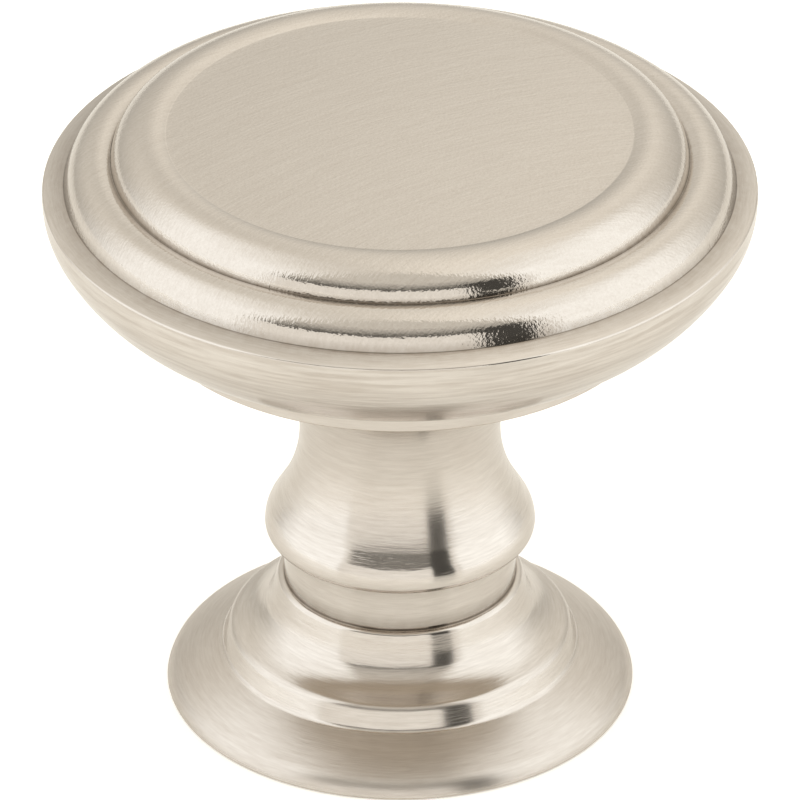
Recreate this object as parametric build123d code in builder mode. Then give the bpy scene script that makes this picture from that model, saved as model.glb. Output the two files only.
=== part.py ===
# Round cabinet knob, cast and turned in one piece: a stepped head over a bowl,
# a waisted neck on a bead and a collar, and a two-tier foot tapped for one screw.
# Millimetres and degrees. The axis is Z, and the foot's back face lies on Z = 0.
# The half section is one chain of runs and arcs, drawn from the back of the foot
# up to the crown of the head, and revolved.
from math import acos, cos, degrees, radians, sin, tan
import os

from build123d import *

os.makedirs("parts", exist_ok=True)

# Foot: a flange with a rounded rim, a short wall, a ledge and a steep flare
foot_radius = 12.7
foot_edge = 0.12
rim_lean = 10
rim_round = 1.4
flange_run = 2.55
flange_slope = 29
step_cove = 0.4
step_wall = 0.89
step_lean = 20
ledge_round = 0.4
ledge_run = 0.69
ledge_slope = 26
flare_cove = 3.0
flare_run = 0.73
flare_lean = 16
shoulder_round = 0.35
shoulder_run = 0.06

# Collar, and the bead that overhangs it
collar_height = 2.73
bead_overhang = 0.51
bead_lower_round = 0.52
bead_upper_round = 2.0

# Neck: an ogee draws in from the bead to the waist, and a long cove spreads under the head
waist_depth = 1.9
waist_curve = 8.0
neck_length = 0.11
head_cove = 7.9

# Underside of the head: a lip, an undercut and the bowl
head_radius = 19.05
lip_height = 2.07
lip_shelf = 2.36
bowl_lower_curve = 9.4
bowl_lower_lean = 51
bowl_upper_curve = 3.4
bowl_upper_lean = 29
bowl_land = 0.38

# Top of the head: rim ledge, two beads that each fall a little towards the axis, and a low domed disc
rim_ledge = 1.2
rim_slope = 15
outer_wall = 0.545
outer_lean = 19
outer_round = 1.69
outer_fall = 25
inner_wall = 0.345
inner_lean = 16
inner_round = 1.5
inner_shoulder = 42
inner_crown = 2.44
inner_fall = 19
dome_rise = 0.3

# Back of the foot: a shallow relief inside the bearing rim, and the tapped hole
bearing_rim = 2.2
relief_depth = 0.6
hole_radius = 1.725
hole_depth = 12.7
hole_mouth = 0.5
drill_point = 118

# Directions along the half section, measured from outward towards up
OUTWARD = 0
UP = 90
INWARD = 180
edge_way = UP + rim_lean
flange_way = INWARD - flange_slope
step_way = UP + step_lean
ledge_way = INWARD - ledge_slope
flare_way = UP + flare_lean
bowl_foot_way = UP - bowl_lower_lean
bowl_mid_way = UP - bowl_upper_lean
rim_way = INWARD - rim_slope
outer_way = UP + outer_lean
outer_fall_way = INWARD + outer_fall
inner_way = UP + inner_lean
inner_shoulder_way = INWARD - inner_shoulder
inner_fall_way = INWARD + inner_fall

# The ogee turns as far as brings the bead's radius in to the waist's
ogee_turn = degrees(acos(1 - waist_depth / (bead_upper_round + waist_curve)))

# The bowl's two arcs step in from the head's edge to the shelf, and the lip lies inside it
lower_cosines = cos(radians(bowl_upper_lean)) - cos(radians(bowl_lower_lean))
bowl_inset = bowl_lower_curve * lower_cosines + bowl_upper_curve * (1 - cos(radians(bowl_upper_lean)))
lip_radius = head_radius - bowl_inset - lip_shelf
bowl_tangent = (cos(radians(bowl_foot_way)), sin(radians(bowl_foot_way)))


def bend(before, radius, old_way, new_way):
    """Arc that carries on smoothly from the run before it into a new direction."""
    return JernArc(before @ 1, before % 1, radius, new_way - old_way)


with BuildPart() as knob:
    with BuildSketch(Plane.XZ):
        with BuildLine():
            # Foot
            back = Line((0, 0), (foot_radius - foot_edge, 0))
            edge = bend(back, foot_edge, OUTWARD, edge_way)
            rim = bend(edge, rim_round, edge_way, flange_way)
            flange = PolarLine(rim @ 1, flange_run, flange_way)
            cove = bend(flange, step_cove, flange_way, step_way)
            wall = PolarLine(cove @ 1, step_wall, step_way)
            brow = bend(wall, ledge_round, step_way, ledge_way)
            ledge = PolarLine(brow @ 1, ledge_run, ledge_way)
            sweep_up = bend(ledge, flare_cove, ledge_way, flare_way)
            flare = PolarLine(sweep_up @ 1, flare_run, flare_way)
            roll = bend(flare, shoulder_round, flare_way, INWARD)
            shoulder = PolarLine(roll @ 1, shoulder_run, INWARD)

            # Collar, bead and neck
            collar = PolarLine(shoulder @ 1, collar_height, UP)
            overhang = PolarLine(collar @ 1, bead_overhang, OUTWARD)
            bead_lower = bend(overhang, bead_lower_round, OUTWARD, UP)
            bead_upper = bend(bead_lower, bead_upper_round, UP, UP + ogee_turn)
            waist = bend(bead_upper, waist_curve, UP + ogee_turn, UP)
            neck = PolarLine(waist @ 1, neck_length, UP)
            spread = bend(neck, head_cove, UP, OUTWARD)

            # Underside of the head
            underside = Line(spread @ 1, (lip_radius, (spread @ 1).Y))
            lip = PolarLine(underside @ 1, lip_height, UP)
            shelf = PolarLine(lip @ 1, lip_shelf, OUTWARD)
            bowl_lower = JernArc(shelf @ 1, bowl_tangent, bowl_lower_curve, bowl_mid_way - bowl_foot_way)
            bowl_upper = bend(bowl_lower, bowl_upper_curve, bowl_mid_way, UP)
            bowl_edge = PolarLine(bowl_upper @ 1, bowl_land, UP)

            # Top of the head
            rim_top = PolarLine(bowl_edge @ 1, rim_ledge, rim_way)
            outer_side = PolarLine(rim_top @ 1, outer_wall, outer_way)
            outer_bead = bend(outer_side, outer_round, outer_way, outer_fall_way)
            inner_side = PolarLine(outer_bead @ 1, inner_wall, inner_way)
            inner_edge = bend(inner_side, inner_round, inner_way, inner_shoulder_way)
            inner_bead = bend(inner_edge, inner_crown, inner_shoulder_way, inner_fall_way)
            crown = (0, (inner_bead @ 1).Y + dome_rise)
            TangentArc(crown, inner_bead @ 1, tangent=(1, 0))
            Line(crown, (0, 0))
        make_face()
    revolve(axis=Axis.Z)

    # Relief that leaves only the bearing rim on the door
    with BuildSketch(Plane.XY):
        Circle(foot_radius - bearing_rim)
    extrude(amount=relief_depth, mode=Mode.SUBTRACT)

    # Blind tapped hole: eased mouth, minor diameter of the thread, drill point
    point_height = hole_radius / tan(radians(drill_point / 2))
    with BuildSketch(Plane.XZ):
        with BuildLine():
            Polyline(
                (0, relief_depth),
                (hole_radius + hole_mouth, relief_depth),
                (hole_radius, relief_depth + hole_mouth),
                (hole_radius, hole_depth),
                (0, hole_depth + point_height),
                close=True,
            )
        make_face()
    revolve(axis=Axis.Z, mode=Mode.SUBTRACT)

knob.part.label = "knob"
export_step(knob.part, "parts/knob.step")

print(f"head {2 * head_radius:.2f} mm, foot {2 * foot_radius:.2f} mm, projection {crown[1]:.2f} mm")
print(f"volume {knob.part.volume / 1000:.3f} cubic centimetres")
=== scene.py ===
# %% [markdown]
# # A turned cabinet knob in satin nickel
# The real knob is one zinc casting, turned on a lathe, brushed and plated. This lesson
# turns the same shape again with Geometry Nodes, finishes it with brushed-metal
# materials, and lights it as in a small photo studio. All places are in metres, in the
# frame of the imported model: the foot's back face lies on Z = 0 and the axis is Z.

# %% The frame
from math import acos, atan, cos, degrees, hypot, pi, radians, sin, tan

import bpy
import numpy as np
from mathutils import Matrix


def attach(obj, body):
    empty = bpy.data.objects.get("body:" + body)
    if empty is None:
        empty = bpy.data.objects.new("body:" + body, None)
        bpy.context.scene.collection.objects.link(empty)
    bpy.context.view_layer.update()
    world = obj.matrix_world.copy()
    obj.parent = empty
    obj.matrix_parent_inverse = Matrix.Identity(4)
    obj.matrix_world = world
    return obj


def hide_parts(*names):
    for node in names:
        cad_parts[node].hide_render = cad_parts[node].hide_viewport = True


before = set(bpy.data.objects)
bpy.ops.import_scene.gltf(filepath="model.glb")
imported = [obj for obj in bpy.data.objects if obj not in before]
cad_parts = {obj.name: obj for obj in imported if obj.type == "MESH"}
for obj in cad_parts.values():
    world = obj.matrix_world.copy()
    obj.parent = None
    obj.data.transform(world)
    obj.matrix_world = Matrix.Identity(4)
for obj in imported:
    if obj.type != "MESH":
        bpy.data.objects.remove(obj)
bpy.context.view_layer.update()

# %% [markdown]
# ## Camera
# The photograph was taken from above the knob with a long lens, which keeps the round
# mouldings close to true ellipses. The camera looks straight at the axis, so it needs
# no shift and no turn about its own line of sight.

# %% Camera
VIEW_RISE = radians(31.116)
VIEW_DISTANCE = 0.5931
VIEW_HEIGHT = 0.017415
SENSOR = 36
LENS = 496.0

camera_data = bpy.data.cameras.new("studio_camera")
camera_data.sensor_width = SENSOR
camera_data.lens = LENS
camera = bpy.data.objects.new("studio_camera", camera_data)
camera.location = (0, -VIEW_DISTANCE * cos(VIEW_RISE), VIEW_HEIGHT + VIEW_DISTANCE * sin(VIEW_RISE))
camera.rotation_euler = (pi / 2 - VIEW_RISE, 0, 0)
bpy.context.scene.collection.objects.link(camera)
bpy.context.scene.camera = camera
print("camera at", [round(value, 3) for value in camera.location])

# %% [markdown]
# ## The half section
# A turner works from a half section: the outline from the axis out to the edge and back.
# It could be typed in as a list of points, but then no size could be read from it. A pen
# walks it here in straight runs and smooth bends, as in the CAD model, with two additions.
# Sharp corners are eased by a tiny round, because a real edge always catches a line of
# light. Every point also remembers its finish and how near it is to a corner, so that
# residue can lie in the hollows and a polish on the edges. The dark marks in the hollows
# are partly painted shade: they darken the corners where shade falls.

# %% The pen
OUTWARD, UP, INWARD, DOWN = 0, 90, 180, -90
CAST, TURNED, LINISHED = 0, 1, 2
EASE = 0.05
BEND_STEP = 6
SUPPORT = 0.03
LONG_STEP = 0.9
BEAD_END = 0.1


class Pen:
    """Walks the half section in millimetres and degrees, and keeps what it passed."""

    def __init__(self, radius, height, way):
        self.at = np.array([radius, height], float)
        self.way = way
        self.walked = 0.0
        self.owed = 0.0
        self.surface(CAST)
        self.points = [(radius, height, self.walked, *self.worked)]
        self.corners = []

    def surface(self, finish, brushed=0.0, scratched=0.0):
        """How the metal is worked from here on."""
        self.worked = (finish, brushed, scratched)

    def go(self, length, way):
        self.at = self.at + length * np.array([cos(radians(way)), sin(radians(way))])
        self.walked += length
        self.points.append((*self.at, self.walked, *self.worked))

    def run(self, length, then=None, ease=EASE, step=LONG_STEP):
        """A straight run, which may end in an eased corner."""
        turn = 0 if then is None else then - self.way
        cut = ease * tan(radians(abs(turn)) / 2)
        left = length - self.owed - cut
        support = min(SUPPORT, left / 4)
        middle = left - 2 * support
        count = max(1, round(middle / step))
        for stretch in [support] + [middle / count] * count + [support]:
            self.go(stretch, self.way)
        self.owed = 0.0
        if then is not None:
            self.corners.append((self.walked + cut, turn))
            self.bend(ease, then)
            self.owed = cut

    def bend(self, radius, way, step=BEND_STEP):
        """An arc that carries on smoothly to a new way."""
        turn = way - self.way - degrees(self.owed / radius) * np.sign(way - self.way)
        self.way = way - turn
        self.owed = 0.0
        count = max(2, round(abs(turn) / step))
        chord = 2 * radius * sin(radians(abs(turn) / count) / 2)
        for number in range(count):
            self.go(chord, self.way + turn * (number + 0.5) / count)
        self.way = way

    def bead(self, radius, way, step):
        """An arc that leaves its last bit to a straight run, which can end in an eased corner."""
        self.bend(radius, way - degrees(BEAD_END / radius), step)
        self.way = way


# %% [markdown]
# The walk starts at the drill point inside the screw hole and comes out through the back
# of the foot. Nobody sees the back on a door, so it stays as it was cast: a shallow
# relief inside a rim that bears on the wood.

# %% Walk the hole and the back
FOOT_RADIUS = 12.7
FOOT_EDGE = 0.12
BEARING_RIM = 2.2
RELIEF_DEPTH = 0.6
RELIEF_EASE = 0.2
HOLE_RADIUS = 1.725
HOLE_DEPTH = 12.7
HOLE_MOUTH = 0.5
MOUTH_SLOPE = 45
DRILL_RISE = 31
THREAD_STEP = 0.1

pen = Pen(0, HOLE_DEPTH + HOLE_RADIUS * tan(radians(DRILL_RISE)), -DRILL_RISE)
pen.run(HOLE_RADIUS / cos(radians(DRILL_RISE)), then=DOWN)
thread_from = pen.walked
pen.run(HOLE_DEPTH - HOLE_MOUTH - RELIEF_DEPTH, then=DOWN + MOUTH_SLOPE, step=THREAD_STEP)
thread_to = pen.walked
pen.run(HOLE_MOUTH / cos(radians(MOUTH_SLOPE)), then=OUTWARD)
pen.run(FOOT_RADIUS - BEARING_RIM - HOLE_RADIUS - HOLE_MOUTH, then=DOWN, ease=RELIEF_EASE)
pen.run(RELIEF_DEPTH, then=OUTWARD)
pen.run(BEARING_RIM - FOOT_EDGE)
print("the back ends at", pen.at.round(3))

# %% [markdown]
# The foot climbs in tiers: a rim, a flange, a short wall, a ledge and a flare. Its sizes
# are those of the CAD model, but for three turns that a mirror gives away and a caliper
# hardly would: the flange is a little crowned, the ledge has a softer brow, and the
# flare's curve has one quicker turn in it. None moves the surface by a tenth of a millimetre.

# %% Walk the foot
RIM_LEAN, RIM_ROUND = 10, 1.4
FLANGE_SLOPE, FLANGE_CROWN, FLANGE_ROUND = 29, 6, 12.7
STEP_COVE, STEP_WALL, STEP_LEAN = 0.4, 0.836, 20
LEDGE_BROW, LEDGE_RUN, LEDGE_SLOPE = 0.6, 0.464, 24
FLARE_LOWER, FLARE_QUICK, FLARE_UPPER = 3.442, 0.8, 3.58
QUICK_FROM, QUICK_TO = 50, 61
FLARE_RUN, FLARE_LEAN = 0.84, 16
SHOULDER_ROUND, SHOULDER_RUN, SHOULDER_EASE = 0.35, 0.06, 0.02
CURVE_STEP = 3

pen.surface(TURNED)
pen.bend(FOOT_EDGE, UP + RIM_LEAN)
pen.surface(TURNED, brushed=1.0)
pen.bend(RIM_ROUND, INWARD - FLANGE_SLOPE - FLANGE_CROWN)
pen.bend(FLANGE_ROUND, INWARD - FLANGE_SLOPE + FLANGE_CROWN, step=1)
pen.surface(TURNED, brushed=0.3)
pen.bend(STEP_COVE, UP + STEP_LEAN)
pen.run(STEP_WALL)
pen.surface(TURNED, brushed=0.5)
pen.bend(LEDGE_BROW, INWARD - LEDGE_SLOPE)
pen.run(LEDGE_RUN)
pen.surface(TURNED, brushed=0.35)
pen.bend(FLARE_LOWER, INWARD - QUICK_FROM, CURVE_STEP)
pen.bend(FLARE_QUICK, INWARD - QUICK_TO, CURVE_STEP)
pen.bend(FLARE_UPPER, UP + FLARE_LEAN, CURVE_STEP)
pen.run(FLARE_RUN)
pen.surface(TURNED)
pen.bend(SHOULDER_ROUND, INWARD)
pen.run(SHOULDER_RUN, then=UP, ease=SHOULDER_EASE)
print("the foot's top lies at", pen.at.round(3))

# %% [markdown]
# Above the foot stand a plain collar and a bead, and an ogee draws in from the bead to the
# waist. The ogee has a short straight in its middle, and the neck above it is cut so that
# the head keeps its height. A long cove then spreads under the head, where no brush
# reaches: its upper half stays as cast. The cast finish is darker and browner there, and
# that is partly painted shade under the head.

# %% Walk the collar, the bead and the neck
COLLAR_HEIGHT, COLLAR_EASE = 2.73, 0.03
BEAD_OVERHANG, BEAD_LOWER, BEAD_UPPER = 0.51, 0.52, 2.0
WAIST_DEPTH, WAIST_CURVE = 1.9, 8.0
OGEE_TURN = 32
NECK_LENGTH = 0.11
HEAD_COVE, CAST_AND_SHADE_FROM = 7.9, 45
LONG_CURVE_STEP = 1.5

ogee_rounds = BEAD_UPPER + WAIST_CURVE
full_turn = degrees(acos(1 - WAIST_DEPTH / ogee_rounds))
ogee_run = (WAIST_DEPTH - ogee_rounds * (1 - cos(radians(OGEE_TURN)))) / sin(radians(OGEE_TURN))
ogee_gain = ogee_rounds * (sin(radians(OGEE_TURN)) - sin(radians(full_turn)))
ogee_gain += ogee_run * cos(radians(OGEE_TURN))

pen.run(COLLAR_HEIGHT, then=OUTWARD, ease=COLLAR_EASE)
pen.run(BEAD_OVERHANG)
pen.bend(BEAD_LOWER, UP)
pen.bend(BEAD_UPPER, UP + OGEE_TURN)
pen.run(ogee_run)
pen.surface(TURNED, brushed=0.5)
pen.bend(WAIST_CURVE, UP, LONG_CURVE_STEP)
pen.run(NECK_LENGTH - ogee_gain)
pen.bend(HEAD_COVE, OUTWARD + CAST_AND_SHADE_FROM, CURVE_STEP)
# From here, up the cove and under the head to the lip, the cast finish's darker colour is partly painted
# shade
pen.surface(CAST, brushed=0.5)
pen.bend(HEAD_COVE, OUTWARD, CURVE_STEP)
print("the neck meets the head at", pen.at.round(3))

# %% [markdown]
# The head is a bowl over a lip. Longer scratches run round the bowl than elsewhere, and its
# upper edge is eased more than most, because that is where fingers pull.

# %% Walk the bowl
HEAD_RADIUS = 19.05
LIP_HEIGHT, LIP_SHELF = 2.07, 2.36
BOWL_LOWER, BOWL_LOWER_LEAN = 9.4, 51
BOWL_UPPER, BOWL_UPPER_LEAN = 3.4, 29
BOWL_LAND, BOWL_EASE = 0.38, 0.12
RIM_LEDGE, RIM_SLOPE = 1.2, 15
OUTER_LEAN = 19

lower_cosines = cos(radians(BOWL_UPPER_LEAN)) - cos(radians(BOWL_LOWER_LEAN))
bowl_inset = BOWL_LOWER * lower_cosines + BOWL_UPPER * (1 - cos(radians(BOWL_UPPER_LEAN)))
lip_radius = HEAD_RADIUS - bowl_inset - LIP_SHELF

pen.run(lip_radius - pen.at[0], then=UP)
pen.surface(TURNED, brushed=0.5)
pen.run(LIP_HEIGHT, then=OUTWARD)
# The shelf under the bowl takes the cast finish too, its darker colour partly painted shade under the head
pen.surface(CAST, brushed=0.5)
pen.run(LIP_SHELF, then=UP - BOWL_LOWER_LEAN)
pen.surface(TURNED, brushed=0.25, scratched=1.0)
pen.bend(BOWL_LOWER, UP - BOWL_UPPER_LEAN, LONG_CURVE_STEP)
pen.bend(BOWL_UPPER, UP, step=2)
pen.surface(TURNED, scratched=1.0)
pen.run(BOWL_LAND, then=INWARD - RIM_SLOPE, ease=BOWL_EASE)
pen.surface(TURNED)
pen.run(RIM_LEDGE, then=UP + OUTER_LEAN)
print("the rim ledge ends at", pen.at.round(3))

# %% [markdown]
# On top lie two beads, each falling a little towards the axis, and a low domed disc. The
# crease round the disc is eased more than the other corners, because the belt ran over it.

# %% Walk the top
OUTER_WALL, OUTER_ROUND, OUTER_FALL = 0.545, 1.69, 25
INNER_WALL, INNER_LEAN = 0.345, 16
INNER_ROUND, INNER_SHOULDER = 1.5, 42
INNER_CROWN, INNER_FALL = 2.44, 19
DOME_RISE = 0.3
DISC_EASE = 0.25
TOP_STEP, DOME_STEP = 4, 0.15

pen.surface(LINISHED)
pen.run(OUTER_WALL)
pen.bead(OUTER_ROUND, INWARD + OUTER_FALL, TOP_STEP)
pen.run(BEAD_END, then=UP + INNER_LEAN)
pen.run(INNER_WALL)
pen.bend(INNER_ROUND, INWARD - INNER_SHOULDER, TOP_STEP)
pen.bead(INNER_CROWN, INWARD + INNER_FALL, CURVE_STEP)
disc_radius = pen.at[0] - BEAD_END * cos(radians(INNER_FALL))
dome_turn = 2 * degrees(atan(DOME_RISE / disc_radius))
dome_radius = hypot(disc_radius, DOME_RISE) / 2 / sin(radians(dome_turn / 2))
pen.run(BEAD_END, then=INWARD - dome_turn, ease=DISC_EASE)
pen.bend(dome_radius, INWARD, DOME_STEP)
pen.points[-1] = (0.0, *pen.points[-1][1:])
section = np.array(pen.points)
print(len(section), "points, crown at", section[-1, :2].round(3))

# %% [markdown]
# ## Turning it
# A lathe is a rule: every point of the section goes round the axis. A screw modifier could
# do that, but Geometry Nodes also take the marks along. They make a grid with one row for
# each point of the section and one column for each step round, and send its points to
# their places. The screw thread is the same rule with one term more: inside the hole the
# radius swells and shrinks along a helix.

# %% Node helpers
def add(tree, kind, **settings):
    """A node of this kind, with its settings."""
    made = tree.nodes.new(kind)
    for name, value in settings.items():
        setattr(made, name, value)
    return made


def feed(tree, socket, value):
    """Gives a socket a link, if the value is another socket, or a constant."""
    if isinstance(value, bpy.types.NodeSocket):
        tree.links.new(value, socket)
    else:
        socket.default_value = value


def calc(tree, operation, first, second=0.0, third=0.0):
    """One step of arithmetic."""
    made = add(tree, "ShaderNodeMath", operation=operation)
    for socket, value in zip(made.inputs, (first, second, third)):
        feed(tree, socket, value)
    return made.outputs[0]


# %% [markdown]
# Polish and plating salts collect in a corner only where it is sharp enough to hide them
# from the cloth, so a shallow crease stays clean. The dark marks there are partly painted
# shade as well, which also lies deepest in the sharp corners.

# %% The section as a mesh that carries its marks
MM = 0.001
# How far the residue and the stain reach from a hollow corner; both are partly painted shade
RESIDUE_AND_SHADE_REACH = 0.05
STAIN_AND_SHADE_REACH = 0.08
POLISH_REACH = 0.05
SHALLOW_TURN, SHARP_TURN = 25, 50
THREAD_FADE = 0.8

walks = section[:, 2]


def near_corners(hollow, reach):
    """How near each point is to a corner of one kind, from 0 to 1 at the corner itself."""
    nearness = np.zeros(len(section))
    for place, turn in pen.corners:
        if (turn < 0) == hollow:
            share = np.clip((abs(turn) - SHALLOW_TURN) / (SHARP_TURN - SHALLOW_TURN), 0, 1)
            nearness = np.maximum(nearness, share * np.exp(-abs(walks - place) / reach))
    return nearness


# The residue and stain marks are partly painted shade in the hollow corners
marks = {"walk": walks * MM, "finish": section[:, 3], "brushed": section[:, 4], "scratched": section[:, 5],
         "residue_and_shade": near_corners(True, RESIDUE_AND_SHADE_REACH), "stain_and_shade": near_corners(True, STAIN_AND_SHADE_REACH),
         "polish": near_corners(False, POLISH_REACH)}
thread = np.clip(np.minimum(walks - thread_from, thread_to - walks) / THREAD_FADE, 0, 1)

section_mesh = bpy.data.meshes.new("half_section")
section_mesh.from_pydata([(r * MM, 0, z * MM) for r, z in section[:, :2]],
                         [(i, i + 1) for i in range(len(section) - 1)], [])
for name, values in (*marks.items(), ("thread", thread)):
    section_mesh.attributes.new(name, "FLOAT", "POINT").data.foreach_set("value", values)
half_section = bpy.data.objects.new("half_section", section_mesh)
bpy.context.scene.collection.objects.link(half_section)
print(len(pen.corners), "corners marked")

# %% [markdown]
# The lathe is a node group with named inputs, so that its size, its thread and its finishes
# can be changed in Blender without touching the nodes inside.

# %% The lathe's inputs
SIDES = 144
THREAD_PITCH = 25.4 / 32
THREAD_CUT = 0.33
LATHE_INPUTS = {"Section": "NodeSocketGeometry", "Sides": "NodeSocketInt",
                "Thread pitch": "NodeSocketFloat", "Thread cut": "NodeSocketFloat",
                "Turned finish": "NodeSocketMaterial", "Linished finish": "NodeSocketMaterial",
                "Cast and shade finish": "NodeSocketMaterial"}

lathe = bpy.data.node_groups.new("lathe", "GeometryNodeTree")
for title, kind in LATHE_INPUTS.items():
    lathe.interface.new_socket(title, in_out="INPUT", socket_type=kind)
lathe.interface.new_socket("Knob", in_out="OUTPUT", socket_type="NodeSocketGeometry")
given = add(lathe, "NodeGroupInput").outputs
print("the lathe takes", ", ".join(LATHE_INPUTS))

# %% A grid row for each point of the section, a column for each step round
size = add(lathe, "GeometryNodeAttributeDomainSize", component="MESH")
feed(lathe, size.inputs["Geometry"], given["Section"])
rows = size.outputs["Point Count"]
grid = add(lathe, "GeometryNodeMeshGrid")
feed(lathe, grid.inputs["Vertices X"], calc(lathe, "ADD", given["Sides"], 1))
feed(lathe, grid.inputs["Vertices Y"], rows)
index = add(lathe, "GeometryNodeInputIndex").outputs[0]
column = calc(lathe, "FLOOR", calc(lathe, "DIVIDE", calc(lathe, "ADD", index, 0.5), rows))
row = calc(lathe, "SUBTRACT", index, calc(lathe, "MULTIPLY", column, rows))
turn = calc(lathe, "DIVIDE", column, given["Sides"])
print(len(lathe.nodes), "nodes lay out the grid")


# %% Places round the axis, and the thread
def named(name):
    """A mark on the mesh, by its name."""
    made = add(lathe, "GeometryNodeInputNamedAttribute", data_type="FLOAT")
    made.inputs["Name"].default_value = name
    return made.outputs["Attribute"]


def along(kind, field):
    """A value of the section, read at this grid point's row."""
    reader = add(lathe, "GeometryNodeSampleIndex", data_type=kind, domain="POINT")
    feed(lathe, reader.inputs["Geometry"], given["Section"])
    feed(lathe, reader.inputs["Value"], field)
    feed(lathe, reader.inputs["Index"], row)
    return reader.outputs["Value"]


drawn = add(lathe, "ShaderNodeSeparateXYZ")
feed(lathe, drawn.inputs[0], along("FLOAT_VECTOR", add(lathe, "GeometryNodeInputPosition").outputs[0]))
radius, height = drawn.outputs["X"], drawn.outputs["Z"]

# The helix: how far a point lies into the groove, from crest to root
phase = calc(lathe, "SUBTRACT", calc(lathe, "DIVIDE", height, given["Thread pitch"]), turn)
groove = calc(lathe, "MULTIPLY", calc(lathe, "PINGPONG", phase, 0.5), 2.0)
groove = calc(lathe, "MULTIPLY", groove, along("FLOAT", named("thread")))
radius = calc(lathe, "ADD", radius, calc(lathe, "MULTIPLY", groove, given["Thread cut"]))

angle = calc(lathe, "MULTIPLY", turn, 2 * pi)
spot = add(lathe, "ShaderNodeCombineXYZ")
feed(lathe, spot.inputs["X"], calc(lathe, "MULTIPLY", radius, calc(lathe, "COSINE", angle)))
feed(lathe, spot.inputs["Y"], calc(lathe, "MULTIPLY", radius, calc(lathe, "SINE", angle)))
feed(lathe, spot.inputs["Z"], height)
print(len(lathe.nodes), "nodes with the places and the thread")


# %% Marks, and the map of turn and walk, kept for the finishes
def store(geometry, name, value, kind="FLOAT", domain="POINT"):
    """Keeps a value on the mesh under a name."""
    made = add(lathe, "GeometryNodeStoreNamedAttribute", data_type=kind, domain=domain)
    feed(lathe, made.inputs["Geometry"], geometry)
    made.inputs["Name"].default_value = name
    feed(lathe, made.inputs["Value"], value)
    return made.outputs["Geometry"]


shape = grid.outputs["Mesh"]
for name in marks:
    shape = store(shape, name, along("FLOAT", named(name)))
shape = store(shape, "turn", turn)
lay = add(lathe, "ShaderNodeCombineXYZ")
feed(lathe, lay.inputs["X"], named("turn"))
feed(lathe, lay.inputs["Y"], named("walk"))
shape = store(shape, "lathe_map", lay.outputs[0], "FLOAT2", "CORNER")
print(len(marks), "marks kept")

# %% [markdown]
# Now the grid goes to its places. Its first and last columns meet there, and so do all the
# points of a row on the axis, so they are welded. A face between two zones takes the mean of
# their marks, and one between cast and turned metal counts as turned.

# %% Close the shape, and give each zone its finish
WELD = 1e-7
ZONES = {"Cast and shade finish": -1.0, "Turned finish": 0.25, "Linished finish": 1.75}

move = add(lathe, "GeometryNodeSetPosition")
feed(lathe, move.inputs["Geometry"], shape)
feed(lathe, move.inputs["Position"], spot.outputs[0])
weld = add(lathe, "GeometryNodeMergeByDistance")
feed(lathe, weld.inputs["Geometry"], move.outputs["Geometry"])
weld.inputs["Distance"].default_value = WELD
smooth = add(lathe, "GeometryNodeSetShadeSmooth")
feed(lathe, smooth.inputs["Geometry"], weld.outputs["Geometry"])
real = add(lathe, "GeometryNodeRealizeInstances")
feed(lathe, real.inputs["Geometry"], smooth.outputs["Geometry"])
shape = real.outputs["Geometry"]
zone = named("finish")
for title, least in ZONES.items():
    coat = add(lathe, "GeometryNodeSetMaterial")
    feed(lathe, coat.inputs["Geometry"], shape)
    feed(lathe, coat.inputs["Selection"], calc(lathe, "GREATER_THAN", zone, least))
    feed(lathe, coat.inputs["Material"], given[title])
    shape = coat.outputs["Geometry"]
feed(lathe, add(lathe, "NodeGroupOutput").inputs[0], shape)
print(len(lathe.nodes), "nodes in the lathe")

# %% [markdown]
# ## Finishes
# Satin nickel is a mirror with a grain. A fine abrasive leaves lines on the metal, and the
# plating follows them, so a reflection stays sharp along the lines and smears across
# them. An image of brushed metal would blur up close and show a seam, so each finish is
# one metal shader with a stretched noise for the lines: the noise tints the metal a
# little, changes its roughness and raises a very low bump.

# %% Helpers for the finishes
def blend_colours(tree, share, first, second):
    """Mixes two colours by a share from 0 to 1."""
    made = add(tree, "ShaderNodeMix", data_type="RGBA", clamp_factor=True)
    feed(tree, made.inputs["Factor"], share)
    for socket, colour in ((made.inputs[6], first), (made.inputs[7], second)):
        feed(tree, socket, colour if isinstance(colour, bpy.types.NodeSocket) else (*colour, 1.0))
    return made.outputs[2]


def spread(tree, value, low, high, new_low, new_high, ease="LINEAR"):
    """Stretches a range of values to another one."""
    made = add(tree, "ShaderNodeMapRange", clamp=True, interpolation_type=ease)
    for socket, number in zip(made.inputs, (value, low, high, new_low, new_high)):
        feed(tree, socket, number)
    return made.outputs[0]


def grain(tree, x, y, z, detail=3.0):
    """Noise from 0 to 1 in coordinates that the finish has stretched."""
    place = add(tree, "ShaderNodeCombineXYZ")
    for socket, value in zip(place.inputs, (x, y, z)):
        feed(tree, socket, value)
    made = add(tree, "ShaderNodeTexNoise")
    made.inputs["Scale"].default_value = 1.0
    made.inputs["Detail"].default_value = detail
    feed(tree, made.inputs["Vector"], place.outputs[0])
    return made.outputs["Fac"]


def places(tree):
    """Where a point lies on the knob, as outputs named X, Y and Z."""
    place = add(tree, "ShaderNodeSeparateXYZ")
    feed(tree, place.inputs[0], add(tree, "ShaderNodeTexCoord").outputs["Object"])
    return place.outputs


def grains(tree, size, detail=3.0):
    """Noise of round grains, as large in metres as said."""
    place = places(tree)
    return grain(tree, *(calc(tree, "DIVIDE", place[name], size) for name in "XYZ"), detail)


def mark_on(tree, name):
    """A mark that the section left on the mesh, such as the residue and painted shade in the corners."""
    return add(tree, "ShaderNodeAttribute", attribute_name=name).outputs["Fac"]


def new_finish(name):
    """A new material, and its nodes."""
    finish = bpy.data.materials.new(name)
    finish.use_nodes = True
    return finish, finish.node_tree


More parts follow.
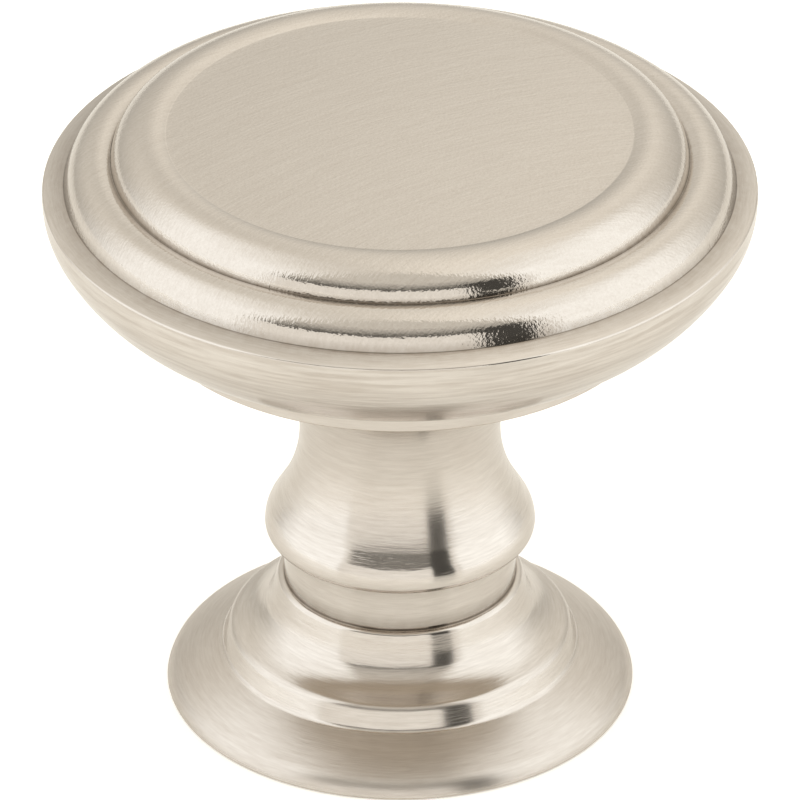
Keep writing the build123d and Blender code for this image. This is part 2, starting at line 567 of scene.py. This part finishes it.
# %% Corner marks, and the shader that all the finishes share
NICKEL = (0.655, 0.61, 0.56)
NICKEL_WORN = (0.73, 0.69, 0.645)
NICKEL_DULL = (0.57, 0.52, 0.47)
# Residue line and stain in the hollow corners: partly real residue, partly painted shade
RESIDUE_AND_SHADE = (0.09, 0.062, 0.036)
STAIN_AND_SHADE = (0.30, 0.22, 0.14)
STAIN_AND_SHADE_PATCH, PATCH_NOISE = 0.0006, (0.35, 0.65)
MOST_STAIN_AND_SHADE, MOST_RESIDUE_AND_SHADE, MOST_POLISH = 0.35, 0.9, 0.5


def corner_marks(tree, colour):
    """Polishes the edges, and puts a patchy stain and a dark line of residue in the corners, both partly
    painted shade.
    """
    patches = spread(tree, grains(tree, STAIN_AND_SHADE_PATCH), *PATCH_NOISE, 0.0, MOST_STAIN_AND_SHADE)
    stain_and_shade = calc(tree, "MULTIPLY", mark_on(tree, "stain_and_shade"), patches)
    polish = calc(tree, "MULTIPLY", mark_on(tree, "polish"), MOST_POLISH)
    residue_and_shade = calc(tree, "MULTIPLY", mark_on(tree, "residue_and_shade"), MOST_RESIDUE_AND_SHADE)
    for share, mark_colour in ((polish, NICKEL_WORN), (stain_and_shade, STAIN_AND_SHADE), (residue_and_shade, RESIDUE_AND_SHADE)):
        colour = blend_colours(tree, share, colour, mark_colour)
    return colour


def metal(tree, lines, colour, roughness, bump_height):
    """Sets the shader to metal, and returns it."""
    shader = tree.nodes["Principled BSDF"]
    shader.inputs["Metallic"].default_value = 1.0
    feed(tree, shader.inputs["Base Color"], colour)
    feed(tree, shader.inputs["Roughness"], roughness)
    bump = add(tree, "ShaderNodeBump")
    bump.inputs["Strength"].default_value = 1.0
    bump.inputs["Distance"].default_value = bump_height
    feed(tree, bump.inputs["Height"], lines)
    feed(tree, shader.inputs["Normal"], bump.outputs[0])
    return shader


# %% [markdown]
# The turned finish is on the foot, the neck and the bowl. Its lines are short and run round
# the axis: the noise is drawn out along the plain X and Y of the knob, and packed close along
# the walk of the section. Where the brush pressed harder, the metal is duller and rougher.

# %% Turned finish
COARSE_LENGTH, COARSE_WIDTH, COARSE_SHARE = 0.0030, 0.00020, 0.45
FINE_LENGTH, FINE_WIDTH, FINE_SHARE = 0.0010, 0.00010, 0.55
SCRATCH_LENGTH, SCRATCH_WIDTH, SCRATCH_DETAIL = 0.0060, 0.00030, 3.0
SCRATCH_NOISE, SCRATCH_TINT = (0.38, 0.62), (-0.40, 0.30)
LINE_NOISE, LINE_TINT = (0.3, 0.7), (0.35, 0.95)
BRUSH_DULLS, BRUSH_ROUGHENS = -0.3, 0.17
TURNED_ROUGHNESS = (0.15, 0.11)
TURNED_BUMP = 0.000010
LINE_SMEAR, ROUND_THE_AXIS = 0.6, 0.25


def turned_finish():
    finish, tree = new_finish("turned_satin_nickel")
    place = places(tree)
    lay = add(tree, "ShaderNodeSeparateXYZ")
    feed(tree, lay.inputs[0], add(tree, "ShaderNodeUVMap", uv_map="lathe_map").outputs[0])

    def rings(length, width, detail=2.0):
        """Lines round the axis, as long and as wide in metres as said."""
        return grain(tree, calc(tree, "DIVIDE", place["X"], length), calc(tree, "DIVIDE", place["Y"], length),
                     calc(tree, "DIVIDE", lay.outputs["Y"], width), detail)

    coarse = calc(tree, "MULTIPLY", rings(COARSE_LENGTH, COARSE_WIDTH), COARSE_SHARE)
    fine = calc(tree, "MULTIPLY", rings(FINE_LENGTH, FINE_WIDTH), FINE_SHARE)
    lines = calc(tree, "ADD", coarse, fine)
    scratches = rings(SCRATCH_LENGTH, SCRATCH_WIDTH, SCRATCH_DETAIL)
    scratches = spread(tree, scratches, *SCRATCH_NOISE, *SCRATCH_TINT)

    brushed = mark_on(tree, "brushed")
    bright = spread(tree, lines, *LINE_NOISE, *LINE_TINT)
    bright = calc(tree, "MULTIPLY_ADD", brushed, BRUSH_DULLS, bright)
    bright = calc(tree, "MULTIPLY_ADD", scratches, mark_on(tree, "scratched"), bright)
    colour = corner_marks(tree, blend_colours(tree, bright, NICKEL_DULL, NICKEL_WORN))
    roughness = spread(tree, lines, *LINE_NOISE, *TURNED_ROUGHNESS)
    roughness = calc(tree, "MULTIPLY_ADD", brushed, BRUSH_ROUGHENS, roughness)
    shader = metal(tree, lines, colour, roughness, TURNED_BUMP)
    shader.inputs["Anisotropic"].default_value = LINE_SMEAR
    shader.inputs["Anisotropic Rotation"].default_value = ROUND_THE_AXIS
    tangent = add(tree, "ShaderNodeTangent", direction_type="UV_MAP", uv_map="lathe_map")
    feed(tree, shader.inputs["Tangent"], tangent.outputs[0])
    return finish


turned_nickel = turned_finish()
print(turned_nickel.name, len(turned_nickel.node_tree.nodes), "nodes")

# %% [markdown]
# The top was linished, which means drawn over a moving belt by hand. Its strokes are long
# shallow arcs that cross the disc and both beads. Between them the belt left a fine
# speckle, which breaks every edge of a reflection into small grains.

# %% Linished finish
STROKE_CENTRE = (0.0247, -0.0411)
LONG_STROKE, LONG_WIDTH, LONG_SHARE = 0.06, 0.00016, 0.5
SHORT_STROKE, SHORT_WIDTH, SHORT_SHARE = 0.012, 0.00009, 0.3
SPECKLE, SPECKLE_SHARE = 0.00014, 0.5
DEPTH_STRETCH = 4
STROKE_NOISE = (0.45, 0.85)
EVENNESS = 0.55
LINISHED_ROUGHNESS = (0.10, 0.06)
LINISHED_BUMP = 0.000017


def linished_finish():
    finish, tree = new_finish("linished_satin_nickel")
    place = places(tree)
    east = calc(tree, "SUBTRACT", place["X"], STROKE_CENTRE[0])
    north = calc(tree, "SUBTRACT", place["Y"], STROKE_CENTRE[1])
    squares = [calc(tree, "MULTIPLY", side, side) for side in (east, north)]
    reach = calc(tree, "SQRT", calc(tree, "ADD", *squares))
    sweep = calc(tree, "ARCTAN2", east, north)

    def strokes(length, width, share):
        """Arcs across the top, as long in radians and as wide in metres as said."""
        arcs = grain(tree, calc(tree, "DIVIDE", reach, width), calc(tree, "DIVIDE", sweep, length),
                     calc(tree, "DIVIDE", place["Z"], width * DEPTH_STRETCH))
        return calc(tree, "MULTIPLY", arcs, share)

    lines = calc(tree, "ADD", strokes(LONG_STROKE, LONG_WIDTH, LONG_SHARE),
                 strokes(SHORT_STROKE, SHORT_WIDTH, SHORT_SHARE))
    lines = calc(tree, "MULTIPLY_ADD", grains(tree, SPECKLE, detail=1.0), SPECKLE_SHARE, lines)
    colour = blend_colours(tree, spread(tree, lines, *STROKE_NOISE, 0, 1), NICKEL_DULL, NICKEL_WORN)
    colour = corner_marks(tree, blend_colours(tree, EVENNESS, colour, NICKEL))
    roughness = spread(tree, lines, *STROKE_NOISE, *LINISHED_ROUGHNESS)
    metal(tree, lines, colour, roughness, LINISHED_BUMP)
    return finish


linished_nickel = linished_finish()
print(linished_nickel.name, len(linished_nickel.node_tree.nodes), "nodes")

# %% [markdown]
# The back, the hole and the underside of the head are as they came from the mould and the
# tap: plated, but never brushed. A fine even grain makes them duller and browner than the
# rest, and the dark brown colour is partly painted shade, standing for the shade under the
# head. The foot mirrors that underside, so this finish also gives the foot its brown bands.

# %% Cast finish
# Painted shade in part: these dark browns stand for the shade under the head as well as the duller cast metal
CASTING_AND_SHADE_DARK = (0.42, 0.36, 0.29)
CASTING_AND_SHADE_PALE = (0.54, 0.48, 0.41)
CASTING_GRAIN, CASTING_NOISE = 0.00025, (0.3, 0.7)
CASTING_ROUGHNESS = (0.5, 0.36)
CASTING_BUMP = 0.000012
CASTING_RESIDUE_AND_SHADE = 0.5


def cast_and_shade_finish():
    finish, tree = new_finish("plated_casting_and_shade")
    spots = grains(tree, CASTING_GRAIN)
    # The dark cast colour is partly painted shade under the head
    colour = blend_colours(tree, spread(tree, spots, *CASTING_NOISE, 0, 1), CASTING_AND_SHADE_DARK, CASTING_AND_SHADE_PALE)
    # The residue line in the hollows is partly painted shade
    residue_and_shade = calc(tree, "MULTIPLY", mark_on(tree, "residue_and_shade"), CASTING_RESIDUE_AND_SHADE)
    colour = blend_colours(tree, residue_and_shade, colour, RESIDUE_AND_SHADE)
    roughness = spread(tree, spots, *CASTING_NOISE, *CASTING_ROUGHNESS)
    metal(tree, spots, colour, roughness, CASTING_BUMP)
    return finish


plated_casting_and_shade = cast_and_shade_finish()
print(plated_casting_and_shade.name, len(plated_casting_and_shade.node_tree.nodes), "nodes")

# %% [markdown]
# Now the lathe can run. Its result is turned into a plain mesh, because an exported model
# keeps no modifiers, and the half section is put away.

# %% Turn the knob
turning = half_section.modifiers.new("lathe", "NODES")
turning.node_group = lathe
named_inputs = {"Sides": SIDES, "Thread pitch": THREAD_PITCH * MM, "Thread cut": THREAD_CUT * MM,
                "Turned finish": turned_nickel, "Linished finish": linished_nickel,
                "Cast and shade finish": plated_casting_and_shade}
for socket in lathe.interface.items_tree:
    if socket.in_out == "INPUT" and socket.name in named_inputs:
        turning[socket.identifier] = named_inputs[socket.name]

bpy.context.view_layer.update()
turned = half_section.evaluated_get(bpy.context.evaluated_depsgraph_get())
knob_mesh = bpy.data.meshes.new_from_object(turned)
knob_mesh.name = "turned_knob"
knob_mesh.materials.pop(index=0)
half_section.modifiers.remove(turning)
bpy.data.objects.remove(half_section)
knob = bpy.data.objects.new("turned_knob", knob_mesh)
bpy.context.scene.collection.objects.link(knob)
knob_mesh.calc_loop_triangles()
print(len(knob_mesh.loop_triangles), "triangles, materials", [m.name for m in knob_mesh.materials])

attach(knob, "root")
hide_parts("knob")

# %% [markdown]
# ## Studio
# The knob stood in a white tent, and what a polished thing shows is mostly its
# surroundings. Lamps and cards could be built round it, but a tent is easier to paint on
# the world: each panel is a soft-edged patch of it, given by its edges in degrees as the
# knob sees them. Azimuth 0 is the camera's side and 90 the right. Two bright softboxes
# stand at the sides. The camera looks in through an opening in front, whose top and right
# side are dark.

# %% Directions in the tent
tent = bpy.data.worlds.new("white_tent")
bpy.context.scene.world = tent
tent.use_nodes = True
sky = tent.node_tree
way = add(sky, "ShaderNodeSeparateXYZ")
feed(sky, way.inputs[0], add(sky, "ShaderNodeTexCoord").outputs["Generated"])
to_right = way.outputs["X"]
to_front = calc(sky, "MULTIPLY", way.outputs["Y"], -1.0)
azimuth = calc(sky, "DEGREES", calc(sky, "ARCTAN2", to_right, to_front))
aside = calc(sky, "ABSOLUTE", azimuth)
elevation = calc(sky, "DEGREES", calc(sky, "ARCSINE", way.outputs["Z"]))


def rise(value, start, end):
    """From 0 at the start to 1 at the end, eased at both."""
    return spread(sky, value, start, end, 0.0, 1.0, "SMOOTHSTEP")


def product(*shares):
    """All of these multiplied, which is also where they overlap."""
    result = shares[0]
    for share in shares[1:]:
        result = calc(sky, "MULTIPLY", result, share)
    return result


# %% The back of the tent
# The cloth warms the light, while the softboxes stay neutral
WARMTH = (1.035, 0.985, 0.89)
BACK_LOW, BACK_LOW_GLOW = (0, 30), (0.60, 0.88)
BACK_HIGH, BACK_HIGH_GAIN = (30, 60), (0.0, 0.10)
MIDDLE, MIDDLE_GAIN = (-0.11, 0.11), (0.93, 1.14)
FAR_LEFT, FAR_LEFT_GAIN = (-0.45, -0.2), (1.07, 1.0)
FAR_RIGHT, FAR_RIGHT_GAIN = (0.2, 0.45), (1.0, 0.89)


def warm(level):
    """The cloth's colour at a fixed level."""
    return tuple(level * share for share in WARMTH)


def warm_glow(level):
    """The cloth's colour at a level that is worked out by nodes."""
    made = add(sky, "ShaderNodeCombineColor")
    for socket, share in zip(made.inputs, WARMTH):
        feed(sky, socket, calc(sky, "MULTIPLY", level, share))
    return made.outputs[0]


# It is darker near the floor. It brightens across the middle from left to right, and the
# far sides even that out again
back = calc(sky, "ADD", spread(sky, elevation, *BACK_LOW, *BACK_LOW_GLOW),
            spread(sky, elevation, *BACK_HIGH, *BACK_HIGH_GAIN))
middle = spread(sky, to_right, *MIDDLE, *MIDDLE_GAIN)
far_left = spread(sky, to_right, *FAR_LEFT, *FAR_LEFT_GAIN)
far_right = spread(sky, to_right, *FAR_RIGHT, *FAR_RIGHT_GAIN)
tent_glow = warm_glow(product(back, middle, far_left, far_right))
print("tent")

# %% Softboxes
LEFT_SOFTBOX = (1.38, 1.38, 1.35)
RIGHT_SOFTBOX = (1.40, 1.40, 1.36)
FRONT_EDGE, BACK_EDGE, TOP_EDGE = (46, 54), (140, 95), (86, 42)
LEAN_BACK, LEAN_OVER = 22, (20, 55)
LEFT_TO_RIGHT = (-20, 20)

from_front = calc(sky, "MULTIPLY_ADD", rise(elevation, *LEAN_OVER), -LEAN_BACK, aside)
softboxes = product(rise(aside, *FRONT_EDGE), rise(from_front, *BACK_EDGE), rise(elevation, *TOP_EDGE))
softbox_glow = blend_colours(sky, rise(azimuth, *LEFT_TO_RIGHT), LEFT_SOFTBOX, RIGHT_SOFTBOX)
tent_glow = blend_colours(sky, softboxes, tent_glow, softbox_glow)
print("softboxes")

# %% The camera's opening
FRONT_PANEL = (1.10, 1.06, 0.99)
PANEL_SIDE, PANEL_TOP = (54, 46), (29, 25)
CEILING_SIDE, CEILING_FOOT = (50, 42), (26, 28)
CEILING_LOW, CEILING_LOW_GLOW = (28, 41), (0.09, 0.46)
CEILING_HIGH, CEILING_HIGH_GAIN = (41, 58), (0.0, 0.34)
DARK_SIDE = 0.08
DARK_LEFT, DARK_RIGHT, DARK_TOP = (26, 28), (46, 44), (41, 37)

front_panel = product(rise(aside, *PANEL_SIDE), rise(elevation, *PANEL_TOP))
tent_glow = blend_colours(sky, front_panel, tent_glow, FRONT_PANEL)
ceiling = calc(sky, "ADD", spread(sky, elevation, *CEILING_LOW, *CEILING_LOW_GLOW),
               spread(sky, elevation, *CEILING_HIGH, *CEILING_HIGH_GAIN))
opening_top = product(rise(aside, *CEILING_SIDE), rise(elevation, *CEILING_FOOT))
tent_glow = blend_colours(sky, opening_top, tent_glow, warm_glow(ceiling))
opening_side = product(rise(azimuth, *DARK_LEFT), rise(azimuth, *DARK_RIGHT), rise(elevation, *DARK_TOP))
tent_glow = blend_colours(sky, opening_side, tent_glow, warm(DARK_SIDE))
feed(sky, sky.nodes["Background"].inputs["Color"], tent_glow)
bpy.context.scene.view_settings.view_transform = "Standard"
print("opening")

# %% [markdown]
# The floor is two sheets. The photograph's white is overexposed, so the matt sheet that
# the camera sees glows. The sheet that the metal mirrors, unseen by the camera, is smooth
# white board: it takes the knob's shadow, glows much less, and most in front.

# %% Floor
FLOOR_REACH = 3.0
SEEN_HEIGHT, BOARD_HEIGHT = -0.00005, -0.0001
SEEN_WHITE, SEEN_GLOSS, SEEN_ROUGHNESS = (0.93, 0.93, 0.93), 0.0, 0.9
SEEN_GLOW = 0.45
BOARD_WHITE, BOARD_GLOSS, BOARD_ROUGHNESS = (0.93, 0.915, 0.88), 0.5, 0.2
BOARD_FRONT, BOARD_GLOW = (0.012, -0.010), (0.09, 0.13)


def floor_sheet(name, height, colour, gloss, roughness):
    """A square sheet that lies flat, and its shader and nodes."""
    mesh = bpy.data.meshes.new(name)
    mesh.from_pydata([(x * FLOOR_REACH, y * FLOOR_REACH, height) for x, y in
                      ((-1, -1), (1, -1), (1, 1), (-1, 1))], [], [(0, 1, 2, 3)])
    sheet = bpy.data.objects.new(name, mesh)
    bpy.context.scene.collection.objects.link(sheet)
    card, tree = new_finish(name)
    shader = tree.nodes["Principled BSDF"]
    shader.inputs["Base Color"].default_value = (*colour, 1.0)
    shader.inputs["Roughness"].default_value = roughness
    shader.inputs["Specular IOR Level"].default_value = gloss
    shader.inputs["Emission Color"].default_value = (*warm(1.0), 1.0)
    mesh.materials.append(card)
    sheet.visible_shadow = False
    return sheet, shader, tree


white_floor, shader, tree = floor_sheet("white_floor", SEEN_HEIGHT, SEEN_WHITE, SEEN_GLOSS, SEEN_ROUGHNESS)
feed(tree, shader.inputs["Emission Strength"], SEEN_GLOW)
white_floor.visible_glossy = False
white_floor.visible_diffuse = False
mirrored_floor, shader, tree = floor_sheet("mirrored_floor", BOARD_HEIGHT, BOARD_WHITE,
                                           BOARD_GLOSS, BOARD_ROUGHNESS)
front_glow = spread(tree, places(tree)["Y"], *BOARD_FRONT, *BOARD_GLOW)
feed(tree, shader.inputs["Emission Strength"], front_glow)
mirrored_floor.visible_camera = False
print("floor")
